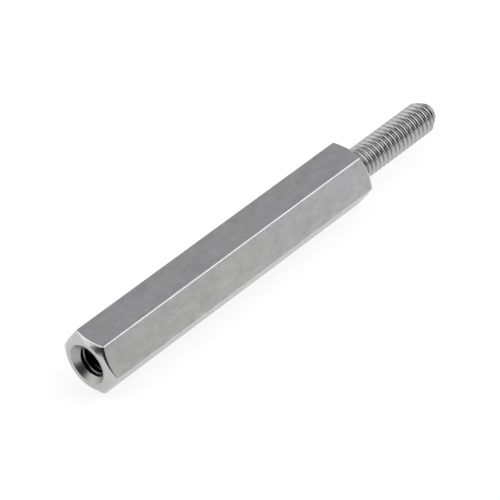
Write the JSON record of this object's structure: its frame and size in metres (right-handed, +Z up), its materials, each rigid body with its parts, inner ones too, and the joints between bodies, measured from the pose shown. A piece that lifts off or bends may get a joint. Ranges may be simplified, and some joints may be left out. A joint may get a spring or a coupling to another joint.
{
  "type": "hex standoff",
  "caption": "Long hexagonal spacer with a countersunk tapped hole in one end and a threaded stud on the other, for holding boards or panels apart.",
  "frame": {"origin": "centre of the tapped end's face, on the standoff's axis", "axes": "+X along the axis from the tapped end towards the stud, +Z up, square to the flat opposite the one it lies on"},
  "size_m": [0.057, 0.008, 0.007],
  "materials": {
    "plated_steel": "bright zinc plate over drawn and turned steel, satin"
  },
  "bodies": {
    "root": {"standoff": "plated_steel"}
  },
  "joints": []
}
